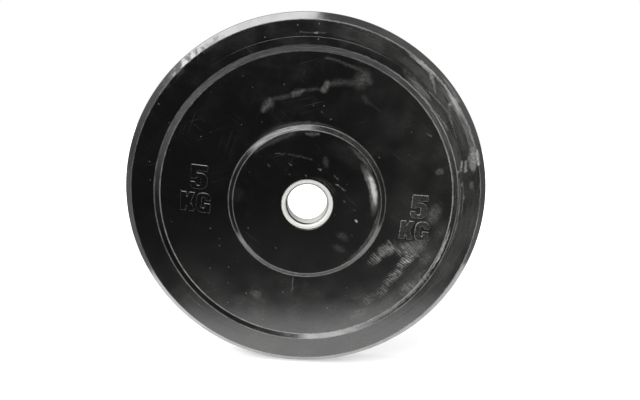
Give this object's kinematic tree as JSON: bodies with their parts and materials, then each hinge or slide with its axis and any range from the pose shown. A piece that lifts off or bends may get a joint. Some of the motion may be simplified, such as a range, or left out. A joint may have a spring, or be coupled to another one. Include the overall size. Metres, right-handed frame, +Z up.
{
  "type": "weight plate",
  "caption": "Round rubber bumper weight plate with raised rim and hub, sunk web and a steel sleeve through its centre for a barbell.",
  "frame": {"origin": "the middle of the bore: on its axis, halfway between the two faces, which is also the centre of the whole plate", "axes": "+Y runs along the bore's axis from the front face to the back face, +Z is up with the plate standing on its edge, and +X is to the right seen from the front"},
  "size_m": [0.45, 0.03, 0.45],
  "materials": {
    "moulded_rubber": "gloss",
    "turned_steel": "satin",
    "mild_steel": "matte"
  },
  "bodies": {
    "root": {"rubber_plate": "moulded_rubber", "hub_sleeve": "turned_steel", "anchor_plate": "mild_steel"}
  },
  "joints": []
}
